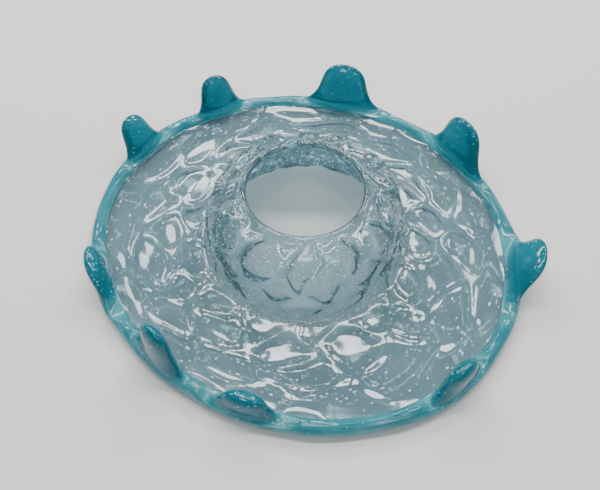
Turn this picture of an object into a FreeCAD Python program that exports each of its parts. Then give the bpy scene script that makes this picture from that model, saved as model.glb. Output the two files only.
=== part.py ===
import FreeCAD, Part
import os
import Sketcher

# Hand-blown glass lamp shade, millimetres.
# A clear shell like a wide-brimmed hat: an open neck, a sloping shoulder, a round crown and
# a nearly flat, slightly oval brim.  A coloured glass wrap closes round the brim's edge, and
# nine points are pulled up out of it.
# The origin is the centre of the neck opening, in the plane of its lip.  +Z is up and out of
# the neck, so the shade lies below the origin and stands on its wrap.

SIZES = {
    "neck_bore_radius": 38.3,
    "wall": 3.0,
    "neck_land": 6.0,
    "collar_drop": 3.9,
    "shoulder_radius": 54.2,
    "shoulder_drop": 8.6,
    "crown_radius": 65.8,
    "crown_drop": 23.0,
    "foot_radius": 67.0,
    "foot_drop": 52.0,
    "brim_radius": 76.0,
    "brim_drop": 54.6,
    "dish_radius": 107.0,
    "dish_drop": 57.0,
    "bend_radius": 8.0,
    "lip_round": 1.2,
    "rim_drop": 55.6,
    "rim_long_radius": 149.7,
    "rim_short_radius": 135.3,
    "rim_turn": -31.5,
    "brim_spare": 3.0,
    "wrap_radius": 5.8,
}

# The nine points, one row each: its place round the rim in degrees from +X, then in
# millimetres how high it rises, how far it leans outwards, how far it leans along the rim
# (anticlockwise from above is positive) and half its width along the rim at mid height.
POINT_FIELDS = ("angle", "rise", "reach", "drift", "half_width")
POINTS = {
    1: (146.0, 32.0, 9.0, 0.0, 11.5),
    2: (118.5, 35.0, 3.0, 0.0, 12.0),
    3: (77.5, 38.0, 7.0, -2.0, 17.0),
    4: (30.5, 38.0, 4.0, 5.0, 17.0),
    5: (345.5, 27.0, 12.0, 9.0, 17.0),
    6: (309.0, 28.0, 0.0, 2.0, 12.0),
    7: (254.0, 22.0, -2.0, 1.0, 13.0),
    8: (226.5, 41.0, -4.0, 0.0, 12.5),
    9: (196.0, 24.0, 5.0, -8.0, 15.0),
}

# How a point's outline goes from its flared foot to its rounded tip.  Each row is the
# fraction of its rise, its half width as a share of the half width at mid height, and its
# half depth as a share of the wrap's radius.
POINT_OUTLINE = (
    (0.00, 1.80, 0.90),
    (0.22, 1.35, 0.98),
    (0.50, 1.00, 1.00),
    (0.78, 0.80, 0.88),
    (0.93, 0.55, 0.62),
)

# The shell's cut outline, as (name, radius, height) in terms of the sheet: down the outside
# from the neck to the brim's edge, then back up the inside.  The brim is turned a little wider
# than the oval that it is trimmed to.  The shares of the wall are the mitres at each corner,
# so that the wall keeps its thickness.
SHELL_OUTLINE = (
    ("lip_inside", "sizes.neck_bore_radius", "0"),
    ("lip_outside", "sizes.neck_bore_radius + sizes.wall", "0"),
    ("collar", "sizes.neck_bore_radius + sizes.wall", "0 - sizes.collar_drop"),
    ("shoulder", "sizes.shoulder_radius", "0 - sizes.shoulder_drop"),
    ("crown", "sizes.crown_radius", "0 - sizes.crown_drop"),
    ("foot", "sizes.foot_radius", "0 - sizes.foot_drop"),
    ("brim", "sizes.brim_radius", "0 - sizes.brim_drop"),
    ("dish", "sizes.dish_radius", "0 - sizes.dish_drop"),
    ("edge", "sizes.rim_long_radius + sizes.brim_spare",
     "0 - sizes.rim_drop + 0.5 * sizes.wall"),
    ("edge_under", "sizes.rim_long_radius + sizes.brim_spare",
     "0 - sizes.rim_drop - 0.5 * sizes.wall"),
    ("dish_under", "sizes.dish_radius", "0 - sizes.dish_drop - sizes.wall"),
    ("brim_under", "sizes.brim_radius - 0.2 * sizes.wall", "0 - sizes.brim_drop - sizes.wall"),
    ("foot_under", "sizes.foot_radius - sizes.wall", "0 - sizes.foot_drop - 0.8 * sizes.wall"),
    ("crown_under", "sizes.crown_radius - sizes.wall", "0 - sizes.crown_drop - 0.5 * sizes.wall"),
    ("shoulder_under", "sizes.shoulder_radius - 0.7 * sizes.wall",
     "0 - sizes.shoulder_drop - 0.8 * sizes.wall"),
    ("land_foot", "sizes.neck_bore_radius", "0 - sizes.neck_land"),
)

# Round edges of the shell's turned form, found by the corner that each one comes from.
OUTER_BENDS = ("shoulder", "crown", "foot_under", "brim_under")
INNER_BENDS = ("shoulder_under", "crown_under", "foot", "brim")

Z_AXIS = FreeCAD.Vector(0, 0, 1)
# A flat curve's long axis turned from radial to along the rim, and a flat curve stood on edge.
ACROSS = FreeCAD.Rotation(Z_AXIS, 90)
UPRIGHT = FreeCAD.Rotation(FreeCAD.Vector(1, 0, 0), 90)
# How close an edge has to be to a corner to have come from it.
NEAR = 0.02


def make_sheet(doc):
    """The driving dimensions, one named cell each."""
    sheet = doc.addObject("Spreadsheet::Sheet", "sizes")
    values = dict(SIZES)
    for number, row in POINTS.items():
        for field, value in zip(POINT_FIELDS, row):
            values[f"point_{number}_{field}"] = value
    for line, (name, value) in enumerate(values.items(), start=1):
        sheet.set(f"A{line}", name)
        sheet.set(f"B{line}", str(value))
        sheet.setAlias(f"B{line}", name)
    doc.recompute()
    return sheet


def origin_feature(body, role):
    """One of the body's own origin planes or axes, found by its role."""
    for feature in body.Origin.OriginFeatures:
        if feature.Role == role:
            return feature
    raise RuntimeError(f"{body.Label} has no {role}")


def flat_sketch(body, name, plane):
    """A sketch attached to one of the body's own origin planes."""
    sketch = body.newObject("Sketcher::SketchObject", name)
    sketch.AttachmentSupport = [(origin_feature(body, plane), "")]
    sketch.MapMode = "FlatFace"
    return sketch


def bind(sketch, name, constraint, formula):
    """Add a named constraint that the sheet drives."""
    index = sketch.addConstraint(constraint)
    sketch.renameConstraint(index, name)
    sketch.setExpression("Constraints." + name, formula)


def draw_outline(sketch, corners):
    """A closed outline of straight lines with every corner bound to the sheet."""
    places = []
    for name, radius, height in corners:
        across = float(sketch.evalExpression(radius))
        up = float(sketch.evalExpression(height))
        places.append(FreeCAD.Vector(across, up, 0))
    count = len(places)
    for number, place in enumerate(places):
        sketch.addGeometry(Part.LineSegment(place, places[(number + 1) % count]), False)
    for number in range(count):
        after = (number + 1) % count
        sketch.addConstraint(Sketcher.Constraint("Coincident", number, 2, after, 1))
    for number, (name, radius, height) in enumerate(corners):
        across, up = places[number].x, places[number].y
        bind(sketch, name + "_radius",
             Sketcher.Constraint("DistanceX", -1, 1, number, 1, across), radius)
        if height == "0":
            sketch.addConstraint(Sketcher.Constraint("PointOnObject", number, 1, -1))
        else:
            bind(sketch, name + "_height",
                 Sketcher.Constraint("DistanceY", -1, 1, number, 1, up), height)
    return {row[0]: place for row, place in zip(corners, places)}


def ring_edges(feature, places, names):
    """The names of the full-circle edges that come from the named corners."""
    found = []
    for number, edge in enumerate(feature.Shape.Edges, start=1):
        if not isinstance(edge.Curve, Part.Circle):
            continue
        for name in names:
            same_radius = abs(edge.Curve.Radius - places[name].x) < NEAR
            same_height = abs(edge.Curve.Center.z - places[name].y) < NEAR
            if same_radius and same_height:
                found.append(f"Edge{number}")
    if len(found) != len(names):
        raise RuntimeError(f"looked for the edges at {names} and found {found}")
    return found


def round_edges(body, name, base, places, corners, formula):
    """Fillet the named corners of a turned form."""
    fillet = body.newObject("PartDesign::Fillet", name)
    fillet.Base = (base, ring_edges(base, places, corners))
    fillet.setExpression("Radius", formula)
    body.Document.recompute()
    return fillet


def make_shell(doc):
    """The clear shell: turned from its outline, bends rounded, brim trimmed to an oval."""
    body = doc.addObject("PartDesign::Body", "glass_body")
    outline = flat_sketch(body, "shell_outline", "XZ_Plane")
    places = draw_outline(outline, SHELL_OUTLINE)
    doc.recompute()
    turned = body.newObject("PartDesign::Revolution", "shell_turned")
    turned.Profile = outline
    turned.ReferenceAxis = (outline, ["V_Axis"])
    turned.Angle = 360.0
    doc.recompute()
    outer = round_edges(body, "outer_bends", turned, places, OUTER_BENDS, "sizes.bend_radius")
    inner = round_edges(body, "inner_bends", outer, places, INNER_BENDS,
                        "sizes.bend_radius - sizes.wall")
    lip = round_edges(body, "lip_round", inner, places, ("lip_outside",), "sizes.lip_round")
    trim = trim_brim(doc, body, lip)
    if trim.Shape.Volume > lip.Shape.Volume - 1:
        raise RuntimeError("the oval trim took nothing off the brim")
    return body


def trim_brim(doc, body, base):
    """Cut the round brim back to the oval that the wrap runs round."""
    sketch = flat_sketch(body, "brim_oval", "XY_Plane")
    long_radius, short_radius = SIZES["rim_long_radius"], SIZES["rim_short_radius"]
    clear_radius = long_radius + 2 * SIZES["brim_spare"]
    clear = sketch.addGeometry(Part.Circle(FreeCAD.Vector(), Z_AXIS, clear_radius), False)
    sketch.addConstraint(Sketcher.Constraint("Coincident", clear, 3, -1, 1))
    bind(sketch, "clear_radius", Sketcher.Constraint("Radius", clear, clear_radius),
         "sizes.rim_long_radius + 2 * sizes.brim_spare")
    ellipse = Part.Ellipse(FreeCAD.Vector(), long_radius, short_radius)
    oval = sketch.addGeometry(ellipse, False)
    sketch.exposeInternalGeometry(oval)
    sketch.addConstraint(Sketcher.Constraint("Coincident", oval, 3, -1, 1))
    long_axis = oval + 1
    short_axis = oval + 2
    bind(sketch, "long_axis", Sketcher.Constraint("Distance", long_axis, 2 * long_radius),
         "2 * sizes.rim_long_radius")
    bind(sketch, "short_axis", Sketcher.Constraint("Distance", short_axis, 2 * short_radius),
         "2 * sizes.rim_short_radius")
    sketch.addConstraint(Sketcher.Constraint("Horizontal", long_axis))
    sketch.setExpression(".AttachmentOffset.Rotation.Angle", "sizes.rim_turn")
    doc.recompute()
    trim = body.newObject("PartDesign::Pocket", "brim_trim")
    trim.Profile = sketch
    trim.Type = "ThroughAll"
    trim.Midplane = True
    doc.recompute()
    return trim


def make_ring(doc):
    """The wrap's full oval tube, before the brim's edge is cut out of it."""
    path = doc.addObject("Part::Ellipse", "wrap_path")
    path.setExpression("MajorRadius", "sizes.rim_long_radius")
    path.setExpression("MinorRadius", "sizes.rim_short_radius")
    path.setExpression(".Placement.Base.z", "0 - sizes.rim_drop")
    circle = doc.addObject("Part::Circle", "wrap_section")
    circle.setExpression("Radius", "sizes.wrap_radius")
    circle.Placement = FreeCAD.Placement(FreeCAD.Vector(), UPRIGHT)
    circle.setExpression(".Placement.Base.x", "sizes.rim_long_radius")
    circle.setExpression(".Placement.Base.z", "0 - sizes.rim_drop")
    ring = doc.addObject("Part::Sweep", "wrap_tube")
    ring.Sections = [circle]
    ring.Spine = (path, ["Edge1"])
    ring.Solid = True
    ring.Frenet = True
    ring.setExpression(".Placement.Rotation.Angle", "sizes.rim_turn")
    doc.recompute()
    return ring


def cut_piece(doc, label, base, tool):
    """A finished sub-part: one solid with another's space taken out of it."""
    piece = doc.addObject("Part::Cut", label)
    piece.Base = base
    piece.Tool = tool
    doc.recompute()
    return piece


def make_point(doc, number, tool):
    """One pulled point: ovals lofted from a flared foot to a rounded tip, leaning outwards."""
    cell = f"sizes.point_{number}_"
    spread = f"({cell}angle - sizes.rim_turn) * 1deg"
    foot = ("sizes.rim_long_radius * sizes.rim_short_radius / sqrt("
            f"(sizes.rim_short_radius * cos({spread})) ^ 2 + "
            f"(sizes.rim_long_radius * sin({spread})) ^ 2)")
    sections = []
    for step, (share, width, depth) in enumerate(POINT_OUTLINE):
        oval = doc.addObject("Part::Ellipse", f"point_{number}_oval_{step}")
        oval.Placement = FreeCAD.Placement(FreeCAD.Vector(), ACROSS)
        oval.setExpression("MajorRadius", f"{width} * {cell}half_width")
        oval.setExpression("MinorRadius", f"{depth} * sizes.wrap_radius")
        oval.setExpression(".Placement.Base.x", f"{foot} + {share} * {cell}reach")
        oval.setExpression(".Placement.Base.y", f"{share} * {cell}drift")
        oval.setExpression(".Placement.Base.z", f"{share} * {cell}rise - sizes.rim_drop")
        sections.append(oval)
    tip = doc.addObject("Part::Vertex", f"point_{number}_tip")
    tip.setExpression("X", f"{foot} + {cell}reach")
    tip.setExpression("Y", f"{cell}drift")
    tip.setExpression("Z", f"{cell}rise - sizes.rim_drop")
    horn = doc.addObject("Part::Loft", f"point_{number}_full")
    horn.Sections = sections + [tip]
    horn.Solid = True
    horn.Ruled = False
    horn.setExpression(".Placement.Rotation.Angle", f"{cell}angle")
    doc.recompute()
    return cut_piece(doc, f"point_{number}", horn, tool)


def check_and_write(doc, pieces):
    """Stop on any failed object or bad shape, then write one file per sub-part."""
    for item in doc.Objects:
        if "Invalid" in item.State or "Error" in item.State:
            raise RuntimeError(f"{item.Label} failed: {item.State}")
    for piece in pieces:
        if piece.Shape.isNull() or not piece.Shape.isValid():
            raise RuntimeError(f"{piece.Label} has a bad shape")
        if len(piece.Shape.Solids) != 1:
            raise RuntimeError(f"{piece.Label} is {len(piece.Shape.Solids)} solids")
    os.makedirs("parts", exist_ok=True)
    for piece in pieces:
        piece.Shape.exportStep(f"parts/{piece.Label}.step")
        box = piece.Shape.BoundBox
        print(f"{piece.Label}: {piece.Shape.Volume / 1000:.1f} cm3, "
              f"z {box.ZMin:.1f} to {box.ZMax:.1f}")


def main():
    doc = FreeCAD.newDocument("glass_shade")
    make_sheet(doc)
    shell = make_shell(doc)
    ring = make_ring(doc)
    wrap = cut_piece(doc, "lip_wrap", ring, shell)
    ring_and_shell = doc.addObject("Part::Fuse", "ring_and_shell")
    ring_and_shell.Base = ring
    ring_and_shell.Tool = shell
    doc.recompute()
    points = [make_point(doc, number, ring_and_shell) for number in POINTS]
    check_and_write(doc, [shell, wrap] + points)


main()
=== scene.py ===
"""A hand-blown glass lamp shade: clear quilted shell, turquoise wrap and pulled points.

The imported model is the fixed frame.  Every size below comes from it or is a share of it.
"""

import math

import bpy
import numpy as np
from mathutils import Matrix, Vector, noise


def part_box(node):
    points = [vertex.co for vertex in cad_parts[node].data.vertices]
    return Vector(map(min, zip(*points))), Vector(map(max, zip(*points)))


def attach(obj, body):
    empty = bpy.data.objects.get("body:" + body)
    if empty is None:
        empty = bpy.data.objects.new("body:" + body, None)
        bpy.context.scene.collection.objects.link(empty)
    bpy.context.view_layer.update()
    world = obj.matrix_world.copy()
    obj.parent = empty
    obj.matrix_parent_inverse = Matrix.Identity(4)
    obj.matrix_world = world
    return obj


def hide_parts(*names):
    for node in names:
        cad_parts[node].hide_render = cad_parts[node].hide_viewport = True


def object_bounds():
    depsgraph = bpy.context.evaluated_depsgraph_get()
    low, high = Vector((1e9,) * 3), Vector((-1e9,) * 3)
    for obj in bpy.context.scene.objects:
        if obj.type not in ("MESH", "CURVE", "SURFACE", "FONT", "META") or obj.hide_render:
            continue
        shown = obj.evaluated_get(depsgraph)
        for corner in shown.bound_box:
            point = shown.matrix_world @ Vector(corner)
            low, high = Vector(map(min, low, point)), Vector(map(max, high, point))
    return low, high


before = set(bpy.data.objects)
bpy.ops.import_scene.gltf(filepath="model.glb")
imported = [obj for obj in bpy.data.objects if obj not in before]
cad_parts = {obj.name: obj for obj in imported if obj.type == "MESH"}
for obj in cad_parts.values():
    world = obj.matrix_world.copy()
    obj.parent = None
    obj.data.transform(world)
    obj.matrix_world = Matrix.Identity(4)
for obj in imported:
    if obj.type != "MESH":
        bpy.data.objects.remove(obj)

bl_info = {
    "name": "Blown glass shade",
    "version": (1, 0, 0),
    "blender": (4, 5, 0),
    "location": "3D View > Sidebar > Glass Shade",
    "description": "Builds the shade's clear shell, coloured wrap, points and studio",
    "category": "Object",
}

CAD_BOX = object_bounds()
ROOT = "root"
TAU = 2 * math.pi
# The sectors in which the rim's edge is measured.
SECTORS = 180


# ---------------------------------------------------------------- what the frame says

def node_points(node):
    """A CAD node's vertices, one row each, in metres."""
    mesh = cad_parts[node].data
    points = np.empty(len(mesh.vertices) * 3, np.float32)
    mesh.vertices.foreach_get("co", points)
    return points.reshape(-1, 3).astype(float)


def point_nodes():
    """The names of the CAD nodes of the pulled points."""
    return sorted(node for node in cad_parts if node.startswith("point_"))


def measure_rim():
    """The wrap's oval: centreline radii along its two axes, its turn, height and thickness."""
    points = node_points("lip_wrap")
    low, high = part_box("lip_wrap")
    thick = (high.z - low.z) / 2
    angle = np.arctan2(points[:, 1], points[:, 0])
    reach = np.hypot(points[:, 0], points[:, 1])
    sector = np.floor(angle / TAU * SECTORS).astype(int) % SECTORS
    edge = np.array([reach[sector == number].max() for number in range(SECTORS)])
    middle = (np.arange(SECTORS) + 0.5) / SECTORS * TAU
    swing = (edge * np.exp(2j * middle)).mean() * 2
    mean = edge.mean()
    return {
        "long": mean + abs(swing) - thick,
        "short": mean - abs(swing) - thick,
        "turn": float(np.angle(swing)) / 2,
        "height": (high.z + low.z) / 2,
        "thick": thick,
    }


RIM = measure_rim()
RIM_RADIUS = (RIM["long"] + RIM["short"]) / 2


class ShadeSizes(bpy.types.PropertyGroup):
    """Sizes of the shell and its quilted pattern."""

    wall: bpy.props.FloatProperty(
        name="Wall", description="Thickness of the clear shell",
        default=0.003, unit="LENGTH")
    cells: bpy.props.IntProperty(
        name="Cells", description="Quilted cells round the shell",
        default=13)
    rib: bpy.props.FloatProperty(
        name="Rib height", description="How far the ribs stand in from the inner face",
        default=0.0018, unit="LENGTH")
    pillow: bpy.props.FloatProperty(
        name="Pillow height", description="How far each cell swells on the outer face",
        default=0.0010, unit="LENGTH")
    seeds: bpy.props.IntProperty(
        name="Seeds", description="Small air bubbles in the clear glass",
        default=4500)


class WrapSizes(bpy.types.PropertyGroup):
    """Sizes of the coloured wrap."""

    width: bpy.props.FloatProperty(
        name="Half width", description="Half the wrap's width across the rim",
        default=RIM["thick"] * 1.08, unit="LENGTH")
    height: bpy.props.FloatProperty(
        name="Half height", description="Half the wrap's height",
        default=RIM["thick"] * 0.93, unit="LENGTH")
    seeds: bpy.props.IntProperty(
        name="Seeds", description="Small air bubbles in the wrap and the points",
        default=900)
    streak: bpy.props.FloatProperty(
        name="Streaks", description="Depth of the drawn lines along the wrap",
        default=0.0004, unit="LENGTH")


class GlassColours(bpy.types.PropertyGroup):
    """How strongly each glass takes up light, and the colour it keeps."""

    clear: bpy.props.FloatVectorProperty(
        name="Clear", description="Colour of the clear glass where it is thick",
        subtype="COLOR", size=3, min=0, max=1, default=(0.42, 0.80, 0.85))
    clear_density: bpy.props.FloatProperty(
        name="Clear density", description="Uptake of light in the clear glass, per metre",
        default=55.0)
    turquoise: bpy.props.FloatVectorProperty(
        name="Turquoise", description="Colour of the wrap and the points",
        subtype="COLOR", size=3, min=0, max=1, default=(0.03, 0.70, 0.80))
    turquoise_density: bpy.props.FloatProperty(
        name="Turquoise density", description="Uptake of light in the wrap, per metre",
        default=110.0)


# ---------------------------------------------------------------- shape helpers

# The rim is a little three-cornered: shares of its radius, by the cosine and the sine.
RIM_LOBE = (-0.007, 0.004)
SPLINE_STEPS = 24


def rim_radius(angle):
    """Centreline radius of the rim: the frame's oval with a slight hand-made third lobe."""
    spread = angle - RIM["turn"]
    oval = RIM["long"] * RIM["short"] / np.sqrt(
        (RIM["short"] * np.cos(spread)) ** 2 + (RIM["long"] * np.sin(spread)) ** 2)
    lobe = RIM_LOBE[0] * np.cos(3 * angle) + RIM_LOBE[1] * np.sin(3 * angle)
    return oval * (1 + lobe)


def smoothstep(low, high, value):
    """0 below low, 1 above high and a smooth rise between them."""
    share = np.clip((value - low) / (high - low), 0, 1)
    return share * share * (3 - 2 * share)


def spline(corners, count):
    """A smooth run of points drawn in by corners, evenly spaced along its length."""
    knots = np.vstack([corners[:1], corners[:1], corners, corners[-1:], corners[-1:]])
    dense = []
    for start in range(len(knots) - 3):
        for share in np.linspace(0, 1, SPLINE_STEPS, endpoint=False):
            weights = np.array([
                (1 - share) ** 3,
                3 * share ** 3 - 6 * share ** 2 + 4,
                -3 * share ** 3 + 3 * share ** 2 + 3 * share + 1,
                share ** 3]) / 6
            dense.append(weights @ knots[start:start + 4])
    dense = np.array(dense)
    along = np.concatenate([[0], np.cumsum(np.hypot(*np.diff(dense, axis=0).T))])
    even = np.linspace(0, along[-1], count)
    return np.stack([np.interp(even, along, dense[:, axis]) for axis in (0, 1)], axis=1)


def mesh_object(name, points, faces, material, smooth=True):
    """A new piece with one material, linked to the scene."""
    mesh = bpy.data.meshes.new(name)
    mesh.from_pydata([tuple(point) for point in points], [], [tuple(face) for face in faces])
    mesh.materials.append(material)
    for polygon in mesh.polygons:
        polygon.use_smooth = smooth
    mesh.update()
    piece = bpy.data.objects.new(name, mesh)
    bpy.context.scene.collection.objects.link(piece)
    return piece


# ---------------------------------------------------------------- the clear shell

# The shell's mid-wall outline from lip to rim, as shares of the rim's radius: radius, then
# height above the rim.  Corners pull a smooth curve, so bends are rounder than they look.
SHELL_CORNERS = (
    (0.282, 0.370),
    (0.283, 0.363),
    (0.302, 0.358),
    (0.350, 0.348),
    (0.400, 0.318),
    (0.440, 0.268),
    (0.452, 0.220),
    (0.455, 0.160),
    (0.455, 0.100),
    (0.458, 0.045),
    (0.478, 0.010),
    (0.530, 0.000),
    (0.620, -0.006),
    (0.720, -0.014),
    (0.820, -0.012),
    (0.900, -0.004),
    (0.960, 0.000),
    (1.000, 0.000),
)
# Columns round the shell, rings from lip to rim, and rings round the lip's and the rim's edge.
TURNS = 400
STEPS = 78
LIP_STEPS = 7
RIM_STEPS = 3

# Lengths from here on run from the lip outwards, as shares of the rim's radius.  The mould's
# ribs cross at this angle and length, then every row length; rows lean by degrees each.
FIRST_NODE = math.radians(263)
NODE_ROW = 0.505
ROW_LENGTH = 0.25
ROW_LEAN = math.radians(4.5)
RIB_WIDTH = 0.34

# Unevenness left by the blower's hand, as waves: size, waves round, waves along, seed.  The
# first two bend the mould's net, in shares of a cell and a row.  The others move the glass,
# in metres.
NET_ROUND = ((0.26, 2.6, 7, 3.1), (0.09, 6, 17, 9.4))
NET_ALONG = ((0.22, 2.6, 6, 21.7), (0.08, 6, 15, 33.3))
BRIM_STREAKS = ((0.00016, 2.5, 34, 50.0),)
OUTER_ROLL = ((0.00044, 2.4, 15, 70.0),)
INNER_ROLL = ((0.0002, 3.0, 19, 90.0),)
WALL_SHIFT = ((0.0022, 1.6, 4, 110.0),)

# Where the relief fades: by the lip, on the brim and by the rim.
LIP_FADE = (0.0, 0.06)
BRIM_FADE = (0.70, 0.92)
RIM_FADE = (0.90, 1.0)
BRIM_LOSS = 0.4
STREAK_START = (0.5, 0.85)
# Bumps along the length, as size, place and spread: ribs lost on the crown's wall, ribs gained
# on the shoulder, and the lip's bead in metres.
WALL_LOSS = (0.55, 0.34, 0.10)
SHOULDER_GAIN = (1.5, 0.13, 0.075)
LIP_BEAD = (0.0022, 0.0, 0.034)
# Shares of the rib and the pillow that stand out on each face.
OUTER_RIB = 0.6
INNER_RIB = 0.7
OUTER_PILLOW = 0.3
INNER_PILLOW = 0.5
# The shell goes from round to the rim's oval between these shares of the radius.
OVAL_START = (0.45, 1.0)


def drift(turn, length, around, along, seed):
    """Smooth unevenness over the shell: `around` sets its waves per turn, `along` from lip to rim."""
    field = np.empty(turn.shape)
    for place in np.ndindex(turn.shape):
        angle = turn[place]
        sample = (around * math.cos(angle), around * math.sin(angle), along * length[place] + seed)
        field[place] = noise.noise(Vector(sample))
    return field


def uneven(turn, length, waves):
    """Several drifts added up, each with its own size."""
    return sum(size * drift(turn, length, around, along, seed)
               for size, around, along, seed in waves)


def swell(length, size, place, spread):
    """A smooth bump along the shell's length."""
    return size * np.exp(-((length - place) / spread) ** 2)


def quilt(turn, length, cells):
    """The optic mould's net: 0 on a rib and 1 in the middle of a cell."""
    row = (length - NODE_ROW) / ROW_LENGTH
    column = cells * (turn - FIRST_NODE + ROW_LEAN * row) / TAU + uneven(turn, length, NET_ROUND)
    row = row + uneven(turn, length, NET_ALONG)
    return np.abs(np.sin(math.pi * (column + row)) * np.sin(math.pi * (column - row)))


def shell_relief(sizes, turn, length):
    """How far the outer and the inner face stand from the middle of the wall, in metres."""
    net = quilt(turn, length, sizes.cells)
    calm = smoothstep(*LIP_FADE, length) * (1 - smoothstep(*RIM_FADE, length))
    relief = calm * (1 - BRIM_LOSS * smoothstep(*BRIM_FADE, length))
    rib = sizes.rib * np.exp(-(net / RIB_WIDTH) ** 2) * relief * (1 - swell(length, *WALL_LOSS))
    pillow = sizes.pillow * net * relief
    streak = uneven(turn, length, BRIM_STREAKS) * smoothstep(*STREAK_START, length)
    roll = uneven(turn, length, OUTER_ROLL)
    shift = uneven(turn, length, WALL_SHIFT) * calm
    outer = OUTER_PILLOW * pillow + OUTER_RIB * rib * (1 + swell(length, *SHOULDER_GAIN))
    outer += swell(length, *LIP_BEAD) + (streak + roll) * calm + shift
    inner = INNER_RIB * rib - INNER_PILLOW * pillow
    inner += uneven(turn, length, INNER_ROLL) * calm - shift
    return sizes.wall / 2 + outer, sizes.wall / 2 + inner


def shell_layers(sizes):
    """The outer and inner faces of the shell, as grids of points over turn and step."""
    outline = spline(np.array(SHELL_CORNERS), STEPS)
    slope = np.gradient(outline, axis=0)
    slope /= np.hypot(*slope.T)[:, None]
    across = np.stack([-slope[:, 1], slope[:, 0]], axis=1)
    along = np.linspace(0, 1, STEPS) * np.hypot(*np.diff(outline, axis=0).T).sum()
    angle = np.arange(TURNS) / TURNS * TAU
    turn, length = np.meshgrid(angle, along, indexing="ij")
    outer, inner = shell_relief(sizes, turn, length)
    oval = 1 + (rim_radius(turn) / RIM_RADIUS - 1) * smoothstep(*OVAL_START, outline[:, 0])
    layers = []
    for side in (outer, -inner):
        radius = (outline[:, 0] * RIM_RADIUS + side * across[:, 0]) * oval
        height = RIM["height"] + outline[:, 1] * RIM_RADIUS + side * across[:, 1]
        layers.append(np.stack([radius * np.cos(turn), radius * np.sin(turn), height], axis=2))
    return layers


def shell_mesh(outer, inner):
    """All rings of the closed shell in order: outer face, rim edge, inner face, lip."""
    rings = [outer[:, step] for step in range(STEPS)]
    rings += rounded_edge(outer[:, -1], inner[:, -1], outer[:, -2], RIM_STEPS)
    rings += [inner[:, step] for step in range(STEPS - 1, -1, -1)]
    rings += rounded_edge(inner[:, 0], outer[:, 0], inner[:, 1], LIP_STEPS)
    points = np.concatenate(rings)
    count = len(rings)
    faces = []
    for ring in range(count):
        near = ring * TURNS
        far = (ring + 1) % count * TURNS
        for turn in range(TURNS):
            after = (turn + 1) % TURNS
            faces.append((near + turn, far + turn, far + after, near + after))
    return points, faces


def rounded_edge(first, last, before, steps):
    """A half-round edge from one face to the other, bulging away from the face before."""
    middle = (first + last) / 2
    half = (first - last) / 2
    size = np.linalg.norm(half, axis=1, keepdims=True)
    out = first - before
    out -= half * (out * half).sum(axis=1, keepdims=True) / size ** 2
    out *= size / np.linalg.norm(out, axis=1, keepdims=True)
    rings = []
    for step in range(1, steps + 1):
        turn = math.pi * step / (steps + 1)
        rings.append(middle + half * math.cos(turn) + out * math.sin(turn))
    return rings


# A small closed bubble: the twelve corners of an icosahedron, and its faces.
GOLDEN = (1 + math.sqrt(5)) / 2
BUBBLE = np.array([
    (-1, GOLDEN, 0), (1, GOLDEN, 0), (-1, -GOLDEN, 0), (1, -GOLDEN, 0),
    (0, -1, GOLDEN), (0, 1, GOLDEN), (0, -1, -GOLDEN), (0, 1, -GOLDEN),
    (GOLDEN, 0, -1), (GOLDEN, 0, 1), (-GOLDEN, 0, -1), (-GOLDEN, 0, 1),
]) / math.sqrt(1 + GOLDEN ** 2)
BUBBLE_FACES = (
    (0, 11, 5), (0, 5, 1), (0, 1, 7), (0, 7, 10), (0, 10, 11),
    (1, 5, 9), (5, 11, 4), (11, 10, 2), (10, 7, 6), (7, 1, 8),
    (3, 9, 4), (3, 4, 2), (3, 2, 6), (3, 6, 8), (3, 8, 9),
    (4, 9, 5), (2, 4, 11), (6, 2, 10), (8, 6, 7), (9, 8, 1),
)


# A usual seed's radius and how much the rest vary, with how deep its middle lies in radii.
SEED_SIZE = 0.00036
SEED_SPREAD = 0.4
SEED_DEPTH = 0.55
LARGEST_SHELL_SEED = 0.0008
LARGEST_WRAP_SEED = 0.0006
WRAP_SEED_SHARE = 0.8
# Seeds gather in the crown's wall, as size, share of the rim's radius and spread, and thin out
# towards the rim.  On the brim they are drawn out, by up to this much.
CROWN_SEEDS = (1.0, 0.45, 0.07)
RIM_THINNING = 1.6
SEED_DRAW = 2.2
DRAW_START = (0.5, 0.95)


def add_bubble(points, faces, centre, radius, stretch, heading):
    """One seed: a round bubble, drawn out along heading where the glass was stretched."""
    start = len(points)
    for corner in BUBBLE:
        place = corner * radius
        place = place + heading * (place @ heading) * (stretch - 1)
        points.append(centre + place)
    faces.extend((start + a, start + b, start + c) for a, b, c in BUBBLE_FACES)


def shell_seeds(sizes, outer, inner):
    """Seeds that rise to the shell's outer face, drawn out round the shade towards the rim."""
    chance = np.random.default_rng(11)
    points, faces = [], []
    radius = np.hypot(outer[..., 0], outer[..., 1]).mean(axis=0)
    share = radius / RIM_RADIUS
    weight = radius * (RIM_THINNING - share) * (1 + swell(share, *CROWN_SEEDS))
    weight /= weight.sum()
    for _ in range(sizes.seeds):
        step = chance.choice(STEPS, p=weight)
        turn = chance.integers(TURNS)
        face, back = outer[turn, step], inner[turn, step]
        out = (face - back) / np.linalg.norm(face - back)
        size = min(SEED_SIZE * math.exp(chance.normal(0, SEED_SPREAD)), LARGEST_SHELL_SEED)
        around = np.array([-face[1], face[0], 0.0])
        around /= np.linalg.norm(around)
        drawn = 1 + SEED_DRAW * smoothstep(*DRAW_START, share[step]) * chance.random()
        add_bubble(points, faces, face - out * size * SEED_DEPTH, size, drawn, around)
    return np.array(points), faces


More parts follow.
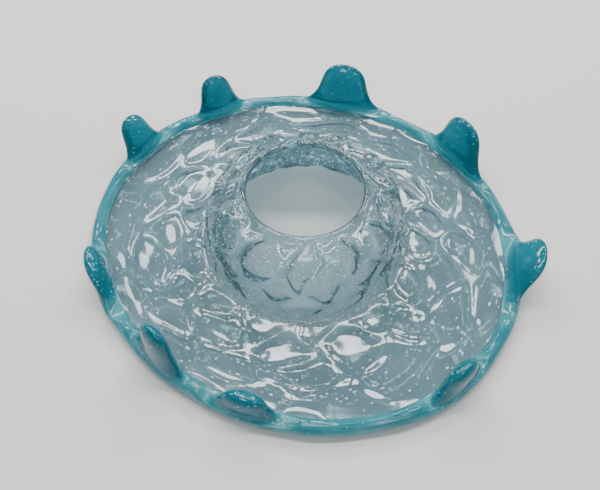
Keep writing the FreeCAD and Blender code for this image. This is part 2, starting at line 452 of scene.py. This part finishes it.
def wrap_seeds(sizes, wrap):
    """Fewer, rounder seeds under the skin of the wrap and its points."""
    chance = np.random.default_rng(23)
    points, faces = [], []
    vertices = wrap.data.vertices
    for _ in range(sizes.seeds):
        vertex = vertices[int(chance.integers(len(vertices)))]
        out = np.array(vertex.normal)
        size = WRAP_SEED_SHARE * SEED_SIZE * math.exp(chance.normal(0, SEED_SPREAD))
        size = min(size, LARGEST_WRAP_SEED)
        add_bubble(points, faces, np.array(vertex.co) - out * size * SEED_DEPTH, size, 1.0, out)
    return np.array(points), faces


class SHADE_OT_shell(bpy.types.Operator):
    """Make the clear quilted shell with its seeds"""

    bl_idname = "shade.shell"
    bl_label = "Clear shell"

    def execute(self, context):
        sizes = context.scene.shade_sizes
        outer, inner = shell_layers(sizes)
        points, faces = shell_mesh(outer, inner)
        shell = mesh_object("clear_shell", points, faces, clear_glass(context))
        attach(shell, ROOT)
        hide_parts("glass_body")
        points, faces = shell_seeds(sizes, outer, inner)
        # The seeds' pale colour is a painted glint: opaque beads stand in for the light a trapped
        # bubble reflects.
        skin = painted_seed_glint("clear_seed_painted_glint", (0.92, 0.98, 1.0), (0.74, 0.86, 0.90))
        seeds = mesh_object("shell_seeds", points, faces, skin)
        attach(seeds, ROOT)
        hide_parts("glass_body")
        return {"FINISHED"}


# ---------------------------------------------------------------- the wrap and its points

# The cage that is smoothed into the wrap: corners in a section, the columns and rows of each
# point's foot, and the spacing of sections between the feet.
SIDES = 8
SIDE_TURN = TAU / SIDES
FOOT_COLUMNS = 4
FOOT_ROWS = 3
SPACING = 0.0115
SMOOTHING = 3
# A cage is drawn in by smoothing, so each ring of it is made this much larger.
RING_SWELL = 6 / (4 + 2 * math.cos(SIDE_TURN))
POINT_SWELL = 1.05

# How wide the wrap is between points and how much that varies, as waves: size, waves, phase.
THIN_WIDTH = 0.76
WIDTH_WAVES = ((0.03, 5, 1), (0.02, 11, 0))
# How much the top of the wrap rises towards a foot, and how far that reaches in foot widths.
FOOT_RISE = 0.45
FOOT_SWAY = 1.1

# How far a foot reaches along the rim, in half widths, how far a point is set back from the
# wrap's outer edge, in thicknesses, and the share of the rise at which it is set back fully.
FOOT_SPREAD = 2.1
SETBACK = 0.42
SETBACK_SHARE = 0.2
# From foot to tip: share of the rise, half width as a share of the half width at mid height,
# half depth as a share of the wrap's half width.
POINT_RINGS = (
    (0.09, 1.78, 0.98),
    (0.20, 1.44, 0.94),
    (0.38, 1.16, 0.92),
    (0.58, 1.02, 0.89),
    (0.77, 0.91, 0.84),
    (0.90, 0.70, 0.68),
)
CAP_SHARE = 0.8

# Parts of a point's CAD node that give its tip, its foot and its belt at mid height.
TIP_DEPTH = 0.0015
FOOT_HEIGHT = 1.2
BELT_HALF = 0.003

# Drawn lines: waves per metre across and down the wrap, and waves round it.  The wide ones are
# this much wider, and the points keep few of them above these heights, in thicknesses.
STREAKS_ACROSS = 900
STREAKS_DOWN = 700
STREAKS_ROUND = 1.3
WIDE_STREAKS = 4.5
POINT_CALM = (0.8, 2.0)
POINT_LOSS = 0.8


def measure_point(node):
    """Where a point stands on the rim, how it leans and how wide it is, from its CAD node."""
    points = node_points(node)
    top = points[:, 2].max()
    tip = points[points[:, 2] > top - TIP_DEPTH].mean(axis=0)
    foot = points[points[:, 2] < RIM["height"] + FOOT_HEIGHT * RIM["thick"]].mean(axis=0)
    angle = math.atan2(foot[1], foot[0])
    out = np.array([math.cos(angle), math.sin(angle), 0.0])
    around = np.array([-out[1], out[0], 0.0])
    base = out * float(rim_radius(angle))
    middle = (top + RIM["height"]) / 2
    belt = points[np.abs(points[:, 2] - middle) < BELT_HALF] @ around
    half_width = (belt.max() - belt.min()) / 2
    return {
        "angle": angle,
        "rise": top - RIM["height"],
        "reach": float((tip - base) @ out),
        "drift": float((tip - base) @ around),
        "half_width": half_width,
        "foot": FOOT_SPREAD * half_width,
    }


def wrap_columns(points):
    """Angles of the wrap's cage columns, and the column where each point's foot begins."""
    ordered = sorted(points, key=lambda point: point["angle"] % TAU)
    angles, starts = [], []
    for number, point in enumerate(ordered):
        half = point["foot"] / float(rim_radius(point["angle"]))
        first = point["angle"] % TAU - half
        starts.append(len(angles))
        for column in range(FOOT_COLUMNS):
            angles.append(first + 2 * half * column / FOOT_COLUMNS)
        end = first + 2 * half
        after = ordered[(number + 1) % len(ordered)]
        next_first = after["angle"] % TAU - after["foot"] / float(rim_radius(after["angle"]))
        gap = (next_first - end) % TAU
        count = max(2, round(gap * RIM_RADIUS / SPACING))
        for step in range(count):
            angles.append(end + gap * step / count)
    return ordered, np.array(angles), starts


def swell_near(points, angle):
    """1 at a point's foot and 0 well away from every point."""
    nearest = 0.0
    for point in points:
        apart = abs((angle - point["angle"] + math.pi) % TAU - math.pi) * RIM_RADIUS
        nearest = max(nearest, math.exp(-(apart / (FOOT_SWAY * point["foot"])) ** 2))
    return nearest


def wrap_ring(sizes, points, angle):
    """One cage section of the wrap: corners round the brim's edge."""
    out = np.array([math.cos(angle), math.sin(angle), 0.0])
    centre = out * float(rim_radius(angle))
    near = swell_near(points, angle)
    thin = THIN_WIDTH + (1 - THIN_WIDTH) * near
    thin += sum(size * math.sin(waves * angle + phase) for size, waves, phase in WIDTH_WAVES)
    centre[2] = RIM["height"]
    ring = []
    for side in range(SIDES):
        turn = SIDE_TURN * (side + 0.5)
        across = sizes.width * RING_SWELL * thin * math.cos(turn)
        rise = sizes.height * RING_SWELL * math.sin(turn)
        if rise > 0:
            rise *= 1 + FOOT_RISE * near
        ring.append(centre + out * across + np.array([0, 0, rise]))
    return ring


def point_corner(sizes, point, column, row, share, width, depth):
    """One cage corner of a point: a square grid bent into an oval, moved up the lean."""
    across = 2 * column / FOOT_COLUMNS - 1
    deep = 2 * row / FOOT_ROWS - 1
    round_across = across * math.sqrt(1 - deep * deep / 2)
    round_deep = deep * math.sqrt(1 - across * across / 2)
    out = np.array([math.cos(point["angle"]), math.sin(point["angle"]), 0.0])
    around = np.array([-out[1], out[0], 0.0])
    up = np.array([0, 0, 1.0])
    inset = SETBACK * RIM["thick"] * (1 - share) * min(1, share / SETBACK_SHARE)
    centre = out * (float(rim_radius(point["angle"])) + point["reach"] * share - inset)
    centre = centre + around * point["drift"] * share
    centre = centre + up * (RIM["height"] + point["rise"] * share)
    corner = centre + around * point["half_width"] * width * POINT_SWELL * round_across
    return corner - out * sizes.width * depth * POINT_SWELL * round_deep


def wrap_cage(sizes):
    """The closed cage of the wrap with its nine points pulled out of the top."""
    points, angles, starts = wrap_columns([measure_point(node) for node in point_nodes()])
    corners, faces = [], []
    for angle in angles:
        corners.extend(wrap_ring(sizes, points, angle))
    count = len(angles)
    feet = {(start + column) % count for start in starts for column in range(FOOT_COLUMNS)}
    for column in range(count):
        after = (column + 1) % count
        for side in range(SIDES):
            if column in feet and side < FOOT_ROWS:
                continue
            beside = (side + 1) % SIDES
            faces.append((column * SIDES + side, after * SIDES + side,
                          after * SIDES + beside, column * SIDES + beside))
    for point, start in zip(points, starts):
        add_point(sizes, corners, faces, point, start, count)
    return np.array(corners), faces


def border_cells():
    """The foot grid's border corners in order, anticlockwise seen from above."""
    cells = [(column, 0) for column in range(FOOT_COLUMNS)]
    cells += [(FOOT_COLUMNS, row) for row in range(FOOT_ROWS)]
    cells += [(column, FOOT_ROWS) for column in range(FOOT_COLUMNS, 0, -1)]
    cells += [(0, row) for row in range(FOOT_ROWS, 0, -1)]
    return cells


def add_point(sizes, corners, faces, point, start, count):
    """Rings from the opening left in the wrap up to a rounded cap."""
    border = border_cells()
    below = [(start + column) % count * SIDES + row for column, row in border]
    for share, width, depth in POINT_RINGS:
        ring = []
        for column, row in border:
            ring.append(len(corners))
            corners.append(point_corner(sizes, point, column, row, share, width, depth))
        join_rings(faces, below, ring)
        below = ring
    grid = {cell: index for cell, index in zip(border, below)}
    _, width, depth = POINT_RINGS[-1]
    for column in range(1, FOOT_COLUMNS):
        for row in range(1, FOOT_ROWS):
            grid[column, row] = len(corners)
            corners.append(point_corner(sizes, point, column, row, 1.0,
                                        width * CAP_SHARE, depth * CAP_SHARE))
    for column in range(FOOT_COLUMNS):
        for row in range(FOOT_ROWS):
            faces.append((grid[column, row], grid[column + 1, row],
                          grid[column + 1, row + 1], grid[column, row + 1]))


def join_rings(faces, below, above):
    """Faces between two rings of the same count."""
    for number in range(len(below)):
        after = (number + 1) % len(below)
        faces.append((below[number], below[after], above[after], above[number]))


def draw_streaks(piece, depth):
    """Press fine drawn lines along the wrap into the smoothed mesh, and hardly into the points."""
    mesh = piece.data
    count = len(mesh.vertices)
    place = np.empty(count * 3, np.float32)
    normal = np.empty(count * 3, np.float32)
    mesh.vertices.foreach_get("co", place)
    mesh.vertex_normals.foreach_get("vector", normal)
    place = place.reshape(-1, 3).astype(float)
    normal = normal.reshape(-1, 3)
    angle = np.arctan2(place[:, 1], place[:, 0])
    across = np.hypot(place[:, 0], place[:, 1]) - rim_radius(angle)
    low = place[:, 2] - RIM["height"]
    fine = np.stack([across * STREAKS_ACROSS, low * STREAKS_DOWN,
                     np.cos(angle) * STREAKS_ROUND, np.sin(angle) * STREAKS_ROUND], axis=1)
    press = np.empty(count)
    for number in range(count):
        x, y, east, north = fine[number]
        narrow = Vector((x + 3 * north, y, 3 * east))
        wide = Vector((x / WIDE_STREAKS, y / WIDE_STREAKS + 4 * east, 4 * north + 7))
        press[number] = (0.6 * noise.noise(narrow) + 0.3 * noise.noise(narrow * 2.1)
                         + 1.2 * noise.noise(wide))
    calm = 1 - POINT_LOSS * smoothstep(*POINT_CALM, low / RIM["thick"])
    place += normal * (depth * press * calm)[:, None]
    mesh.vertices.foreach_set("co", place.astype(np.float32).ravel())
    mesh.update()


def smooth_cage(piece, levels):
    """Replace a piece's mesh with its subdivided form."""
    modifier = piece.modifiers.new("smooth", "SUBSURF")
    modifier.levels = levels
    modifier.render_levels = levels
    bpy.context.view_layer.update()
    depsgraph = bpy.context.evaluated_depsgraph_get()
    mesh = bpy.data.meshes.new_from_object(piece.evaluated_get(depsgraph))
    piece.modifiers.clear()
    old = piece.data
    piece.data = mesh
    bpy.data.meshes.remove(old)


class SHADE_OT_wrap(bpy.types.Operator):
    """Make the turquoise wrap with its nine pulled points"""

    bl_idname = "shade.wrap"
    bl_label = "Wrap and points"

    def execute(self, context):
        sizes = context.scene.wrap_sizes
        corners, faces = wrap_cage(sizes)
        wrap = mesh_object("wrap_and_points", corners, faces, turquoise_glass(context))
        smooth_cage(wrap, SMOOTHING)
        draw_streaks(wrap, sizes.streak)
        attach(wrap, ROOT)
        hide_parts("lip_wrap", *point_nodes())
        points, faces = wrap_seeds(sizes, wrap)
        # The seeds' pale turquoise colour is a painted glint: opaque beads stand in for the light a
        # trapped bubble reflects.
        skin = painted_seed_glint("turquoise_seed_painted_glint", (0.34, 0.76, 0.82), (0.16, 0.58, 0.66))
        seeds = mesh_object("wrap_seeds", points, faces, skin)
        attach(seeds, ROOT)
        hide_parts("lip_wrap")
        return {"FINISHED"}


# ---------------------------------------------------------------- materials

def new_material(name):
    """An empty material with its nodes and links."""
    material = bpy.data.materials.new(name)
    material.use_nodes = True
    nodes = material.node_tree.nodes
    nodes.clear()
    return material, nodes, material.node_tree.links


def melt_surface_group():
    """Shared effect: the soft waves and drawn lines that hot working leaves on glass."""
    if "melt_surface" in bpy.data.node_groups:
        return bpy.data.node_groups["melt_surface"]
    group = bpy.data.node_groups.new("melt_surface", "ShaderNodeTree")
    face = group.interface
    for name, default in (("Wave Scale", 60.0), ("Line Scale", 300.0), ("Line Amount", 0.5)):
        socket = face.new_socket(name=name, in_out="INPUT", socket_type="NodeSocketFloat")
        socket.default_value = default
    face.new_socket(name="Height", in_out="OUTPUT", socket_type="NodeSocketFloat")
    nodes, links = group.nodes, group.links
    given = nodes.new("NodeGroupInput")
    out = nodes.new("NodeGroupOutput")
    place = nodes.new("ShaderNodeTexCoord")
    wave = nodes.new("ShaderNodeTexNoise")
    wave.inputs["Detail"].default_value = 2.0
    wave.inputs["Roughness"].default_value = 0.4
    line = nodes.new("ShaderNodeTexNoise")
    line.inputs["Detail"].default_value = 3.0
    split = nodes.new("ShaderNodeSeparateXYZ")
    reach = nodes.new("ShaderNodeVectorMath")
    reach.operation = "LENGTH"
    around = nodes.new("ShaderNodeMath")
    around.operation = "ARCTAN2"
    join = nodes.new("ShaderNodeCombineXYZ")
    slow = nodes.new("ShaderNodeMath")
    slow.operation = "MULTIPLY"
    slow.inputs[1].default_value = 0.02
    links.new(place.outputs["Object"], split.inputs[0])
    links.new(place.outputs["Object"], reach.inputs[0])
    links.new(split.outputs["Y"], around.inputs[0])
    links.new(split.outputs["X"], around.inputs[1])
    links.new(around.outputs[0], slow.inputs[0])
    links.new(reach.outputs["Value"], join.inputs["X"])
    links.new(slow.outputs[0], join.inputs["Y"])
    links.new(split.outputs["Z"], join.inputs["Z"])
    links.new(place.outputs["Object"], wave.inputs["Vector"])
    links.new(join.outputs[0], line.inputs["Vector"])
    links.new(given.outputs["Wave Scale"], wave.inputs["Scale"])
    links.new(given.outputs["Line Scale"], line.inputs["Scale"])
    weigh = nodes.new("ShaderNodeMath")
    weigh.operation = "MULTIPLY"
    links.new(line.outputs["Fac"], weigh.inputs[0])
    links.new(given.outputs["Line Amount"], weigh.inputs[1])
    total = nodes.new("ShaderNodeMath")
    total.operation = "ADD"
    links.new(wave.outputs["Fac"], total.inputs[0])
    links.new(weigh.outputs[0], total.inputs[1])
    links.new(total.outputs[0], out.inputs["Height"])
    return group


def glass_material(name, haze, soft, colour, density, marks):
    """Solid glass: a refracting surface with melt marks round a body that takes up light."""
    material, nodes, links = new_material(name)
    out = nodes.new("ShaderNodeOutputMaterial")
    shader = nodes.new("ShaderNodeBsdfPrincipled")
    shader.inputs["Metallic"].default_value = 0.0
    shader.inputs["Roughness"].default_value = soft
    shader.inputs["IOR"].default_value = 1.5
    shader.inputs["Transmission Weight"].default_value = 1 - haze
    body = nodes.new("ShaderNodeVolumeAbsorption")
    body.inputs["Color"].default_value = (*colour, 1.0)
    body.inputs["Density"].default_value = density
    melt = nodes.new("ShaderNodeGroup")
    melt.node_tree = melt_surface_group()
    for socket in ("Wave Scale", "Line Scale", "Line Amount"):
        melt.inputs[socket].default_value = marks[socket]
    bump = nodes.new("ShaderNodeBump")
    bump.inputs["Strength"].default_value = 1.0
    bump.inputs["Distance"].default_value = marks["Depth"]
    links.new(melt.outputs["Height"], bump.inputs["Height"])
    links.new(bump.outputs["Normal"], shader.inputs["Normal"])
    links.new(shader.outputs["BSDF"], out.inputs["Surface"])
    links.new(body.outputs["Volume"], out.inputs["Volume"])
    return material, shader, melt


CLEAR_MARKS = {"Wave Scale": 40.0, "Line Scale": 240.0, "Line Amount": 0.35, "Depth": 0.00012}
TURQUOISE_MARKS = {"Wave Scale": 70.0, "Line Scale": 400.0, "Line Amount": 0.5, "Depth": 0.0003}


def clouded(nodes, links, melt, socket, dark, pale):
    """Vary a colour over the surface between two tones, by the melt marks."""
    share = nodes.new("ShaderNodeMapRange")
    share.inputs["From Min"].default_value = 0.45
    share.inputs["From Max"].default_value = 0.95
    blend = nodes.new("ShaderNodeMix")
    blend.data_type = "RGBA"
    blend.inputs["A"].default_value = (*dark, 1.0)
    blend.inputs["B"].default_value = (*pale, 1.0)
    links.new(melt.outputs["Height"], share.inputs["Value"])
    links.new(share.outputs["Result"], blend.inputs["Factor"])
    links.new(blend.outputs["Result"], socket)


def clear_glass(context):
    """Nearly colourless glass, a little greyer where the gather folded over itself."""
    colours = context.scene.glass_colours
    material, shader, melt = glass_material("clear_glass", 0.08, 0.07, colours.clear,
                                            colours.clear_density, CLEAR_MARKS)
    clouded(material.node_tree.nodes, material.node_tree.links, melt,
            shader.inputs["Base Color"], (0.40, 0.56, 0.62), (0.52, 0.67, 0.72))
    return material


def turquoise_glass(context):
    """Turquoise that is pale in the thin wrap and deep where it is pulled up into points."""
    colours = context.scene.glass_colours
    material, shader, melt = glass_material("turquoise_glass", 0.40, 0.04, colours.turquoise,
                                            colours.turquoise_density, TURQUOISE_MARKS)
    nodes, links = material.node_tree.nodes, material.node_tree.links
    place = nodes.new("ShaderNodeTexCoord")
    split = nodes.new("ShaderNodeSeparateXYZ")
    height = nodes.new("ShaderNodeMapRange")
    height.interpolation_type = "SMOOTHSTEP"
    height.inputs["From Min"].default_value = RIM["height"] + 0.2 * RIM["thick"]
    height.inputs["From Max"].default_value = RIM["height"] + 2.2 * RIM["thick"]
    cloud = nodes.new("ShaderNodeTexNoise")
    cloud.inputs["Scale"].default_value = 90.0
    sway = nodes.new("ShaderNodeMath")
    sway.operation = "MULTIPLY_ADD"
    sway.inputs[1].default_value = 0.006
    blend = nodes.new("ShaderNodeMix")
    blend.data_type = "RGBA"
    blend.inputs["A"].default_value = (0.11, 0.54, 0.60, 1.0)
    blend.inputs["B"].default_value = (0.003, 0.26, 0.34, 1.0)
    links.new(place.outputs["Object"], split.inputs[0])
    links.new(place.outputs["Object"], cloud.inputs["Vector"])
    links.new(cloud.outputs["Fac"], sway.inputs[0])
    links.new(split.outputs["Z"], sway.inputs[2])
    links.new(sway.outputs[0], height.inputs["Value"])
    links.new(height.outputs["Result"], blend.inputs["Factor"])
    thread = nodes.new("ShaderNodeMapRange")
    thread.inputs["From Min"].default_value = 0.66
    thread.inputs["From Max"].default_value = 0.92
    thread.inputs["To Max"].default_value = 0.5
    threaded = nodes.new("ShaderNodeMix")
    threaded.data_type = "RGBA"
    threaded.inputs["B"].default_value = (0.24, 0.74, 0.80, 1.0)
    band = nodes.new("ShaderNodeMath")
    band.operation = "SUBTRACT"
    band.inputs[0].default_value = 1.1
    thin = nodes.new("ShaderNodeMath")
    thin.operation = "MULTIPLY"
    links.new(melt.outputs["Height"], thread.inputs["Value"])
    links.new(height.outputs["Result"], band.inputs[1])
    links.new(band.outputs[0], thin.inputs[0])
    links.new(thread.outputs["Result"], thin.inputs[1])
    links.new(thin.outputs[0], threaded.inputs["Factor"])
    links.new(blend.outputs["Result"], threaded.inputs["A"])
    links.new(threaded.outputs["Result"], shader.inputs["Base Color"])
    shader.inputs["Specular IOR Level"].default_value = 0.25
    return material


def painted_seed_glint(name, pale, dark):
    """Painted glint of a trapped bubble: a pale opaque bead whose colour stands in for the nearly
    full reflection a bubble sends back.
    """
    material, nodes, links = new_material(name)
    out = nodes.new("ShaderNodeOutputMaterial")
    shader = nodes.new("ShaderNodeBsdfPrincipled")
    melt = nodes.new("ShaderNodeGroup")
    melt.node_tree = melt_surface_group()
    clouded(nodes, links, melt, shader.inputs["Base Color"], dark, pale)
    shader.inputs["Roughness"].default_value = 0.25
    shader.inputs["Transmission Weight"].default_value = 0.0
    links.new(shader.outputs["BSDF"], out.inputs["Surface"])
    return material


def floor_material():
    """Pale matt floor, open to a camera that looks up from under it."""
    material, nodes, links = new_material("pale_floor")
    out = nodes.new("ShaderNodeOutputMaterial")
    shader = nodes.new("ShaderNodeBsdfPrincipled")
    shader.inputs["Roughness"].default_value = 0.85
    melt = nodes.new("ShaderNodeGroup")
    melt.node_tree = melt_surface_group()
    melt.inputs["Wave Scale"].default_value = 1.5
    melt.inputs["Line Amount"].default_value = 0.0
    clouded(nodes, links, melt, shader.inputs["Base Color"],
            (0.62, 0.61, 0.595), (0.65, 0.64, 0.625))
    under = nodes.new("ShaderNodeNewGeometry")
    ray = nodes.new("ShaderNodeLightPath")
    both = nodes.new("ShaderNodeMath")
    both.operation = "MULTIPLY"
    gone = nodes.new("ShaderNodeBsdfTransparent")
    choose = nodes.new("ShaderNodeMixShader")
    links.new(under.outputs["Backfacing"], both.inputs[0])
    links.new(ray.outputs["Is Camera Ray"], both.inputs[1])
    links.new(both.outputs[0], choose.inputs[0])
    links.new(shader.outputs["BSDF"], choose.inputs[1])
    links.new(gone.outputs["BSDF"], choose.inputs[2])
    links.new(choose.outputs[0], out.inputs["Surface"])
    return material


# ---------------------------------------------------------------- studio

VIEW_ELEVATION = math.radians(54.47)
VIEW_DISTANCE = 3.476 * RIM_RADIUS
VIEW_AIM = Vector((-0.022 * RIM_RADIUS, -0.043 * RIM_RADIUS, RIM["height"]))
LENS_MM = 42.0
FLOOR_HALF = 15.0
# Two rows of soft window panels, one nearly overhead and one lower behind: back, up, power.
WINDOW_ROWS = ((0.30, 1.35, 4.2), (1.20, 0.95, 3.6))
SIDE_WINDOWS = ((-0.62, 0.75, 1.05), (0.62, 0.75, 1.05), (-1.0, 0.5, 0.9), (1.0, 0.5, 0.9))
SIDE_POWER = 3.2
# Smaller panels over the near side, which light the shoulder under the lip.
FRONT_WINDOWS = ((0.0, -0.42, 1.15), (-0.42, -0.75, 0.90), (0.42, -0.75, 0.90))
FRONT_POWER = 1.6
WINDOWS = 5
WINDOW_GAP = 0.32
WINDOW_WIDTH = 0.24
WINDOW_DEPTH = 0.20


def add_camera():
    """The camera, which looks down at the shade from the near side."""
    data = bpy.data.cameras.new("camera")
    data.sensor_width = 36.0
    data.lens = LENS_MM
    data.clip_start = 0.01
    camera = bpy.data.objects.new("camera", data)
    back = Vector((0, -math.cos(VIEW_ELEVATION), math.sin(VIEW_ELEVATION)))
    camera.location = VIEW_AIM + back * VIEW_DISTANCE
    camera.rotation_euler = (math.pi / 2 - VIEW_ELEVATION, 0, 0)
    bpy.context.scene.collection.objects.link(camera)
    bpy.context.scene.camera = camera


def add_panel_light(name, place, aim, width, height, power):
    """A flat soft panel at place, facing aim."""
    data = bpy.data.lights.new(name, "AREA")
    data.shape = "RECTANGLE"
    data.size = width
    data.size_y = height
    data.energy = power
    light = bpy.data.objects.new(name, data)
    light.location = place
    light.rotation_euler = (Vector(aim) - Vector(place)).to_track_quat("-Z", "Y").to_euler()
    bpy.context.scene.collection.objects.link(light)


def add_world():
    """An even pale sky that fills the shadows."""
    world = bpy.data.worlds.new("studio")
    world.use_nodes = True
    background = world.node_tree.nodes["Background"]
    background.inputs["Color"].default_value = (0.86, 0.88, 0.90, 1.0)
    background.inputs["Strength"].default_value = 0.30
    bpy.context.scene.world = world


class SHADE_OT_studio(bpy.types.Operator):
    """Add the pale floor, the soft lights and the camera"""

    bl_idname = "shade.studio"
    bl_label = "Studio"

    def execute(self, context):
        floor_level = CAD_BOX[0][2]
        half = FLOOR_HALF
        corners = [(-half, -half, floor_level), (half, -half, floor_level),
                   (half, half, floor_level), (-half, half, floor_level)]
        floor = mesh_object("floor", corners, [(0, 1, 2, 3)], floor_material(), False)
        add_camera()
        for row, (back, height, power) in enumerate(WINDOW_ROWS):
            for number in range(WINDOWS):
                side = (number - (WINDOWS - 1) / 2) * WINDOW_GAP
                add_panel_light(f"window_{row}_{number}", (side, back, height),
                                (side, 0, RIM["height"]), WINDOW_WIDTH, WINDOW_DEPTH, power)
        for number, (side, back, height) in enumerate(SIDE_WINDOWS):
            add_panel_light(f"side_window_{number}", (side, back, height),
                            (0, 0, RIM["height"]), WINDOW_DEPTH, WINDOW_WIDTH, SIDE_POWER)
        for number, place in enumerate(FRONT_WINDOWS):
            add_panel_light(f"front_window_{number}", place, (0, 0, RIM["height"]),
                            WINDOW_WIDTH, WINDOW_DEPTH, FRONT_POWER)
        add_world()
        return {"FINISHED"}


class SHADE_PT_panel(bpy.types.Panel):
    """Lists the shade's pieces and sizes"""

    bl_idname = "SHADE_PT_panel"
    bl_label = "Glass Shade"
    bl_space_type = "VIEW_3D"
    bl_region_type = "UI"
    bl_category = "Glass Shade"

    def draw(self, context):
        layout = self.layout
        for operator in OPERATORS:
            layout.operator(operator.bl_idname)
        for group in (context.scene.shade_sizes, context.scene.wrap_sizes,
                      context.scene.glass_colours):
            box = layout.box()
            for name in group.__annotations__:
                box.prop(group, name)


OPERATORS = (SHADE_OT_shell, SHADE_OT_wrap, SHADE_OT_studio)
GROUPS = {
    "shade_sizes": ShadeSizes,
    "wrap_sizes": WrapSizes,
    "glass_colours": GlassColours,
}


def register():
    for name, group in GROUPS.items():
        bpy.utils.register_class(group)
        setattr(bpy.types.Scene, name, bpy.props.PointerProperty(type=group))
    for operator in OPERATORS:
        bpy.utils.register_class(operator)
    bpy.utils.register_class(SHADE_PT_panel)


def unregister():
    bpy.utils.unregister_class(SHADE_PT_panel)
    for operator in reversed(OPERATORS):
        bpy.utils.unregister_class(operator)
    for name, group in reversed(GROUPS.items()):
        delattr(bpy.types.Scene, name)
        bpy.utils.unregister_class(group)


def main():
    register()
    bpy.ops.shade.studio()
    bpy.ops.shade.shell()
    bpy.ops.shade.wrap()


if __name__ == "__main__":
    main()
